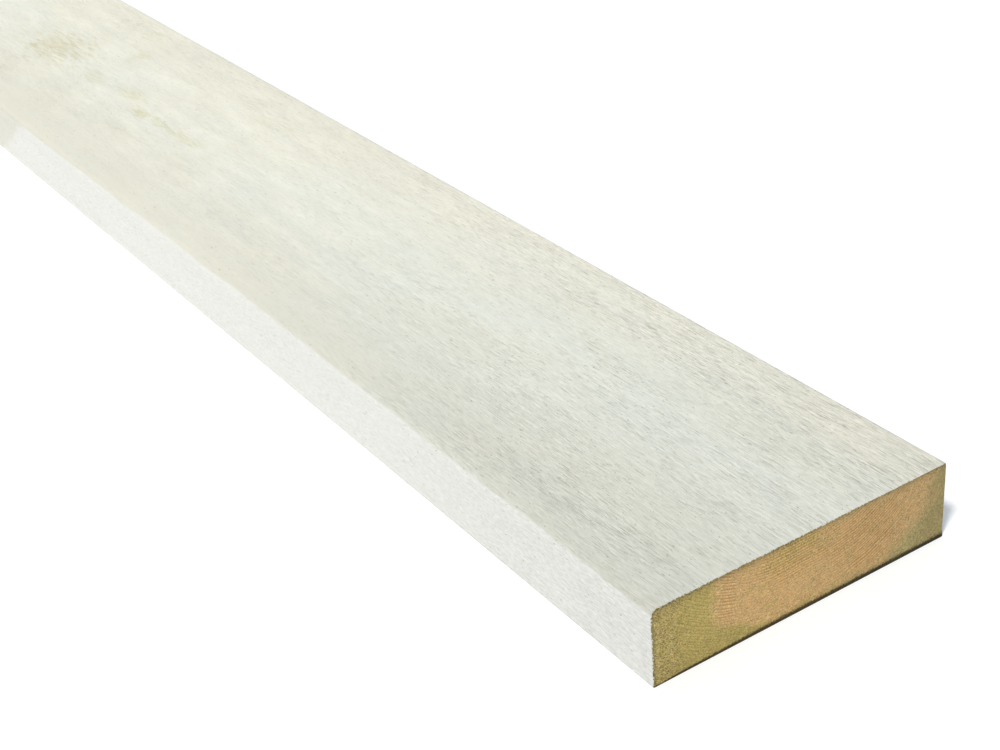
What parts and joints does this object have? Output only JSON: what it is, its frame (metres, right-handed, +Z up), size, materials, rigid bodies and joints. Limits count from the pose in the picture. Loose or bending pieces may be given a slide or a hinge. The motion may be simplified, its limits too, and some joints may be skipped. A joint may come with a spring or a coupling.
{
  "type": "timber plank",
  "caption": "Sawn softwood plank lying flat: long faces washed white, square-cut bare ends with growth rings, and a softly rounded front arris; stock for fascia, cladding or framing.",
  "frame": {"origin": "middle of the underside, on the surface that the plank lies on", "axes": "+X along the grain towards the cut end that the picture shows, +Y across the width away from the rounded arris, +Z up through the thickness"},
  "size_m": [1.8, 0.15, 0.036],
  "materials": {
    "washed_softwood": "sawn, thin white wash on the long faces, bare at the cut ends"
  },
  "bodies": {
    "root": {"plank": "washed_softwood"}
  },
  "joints": []
}
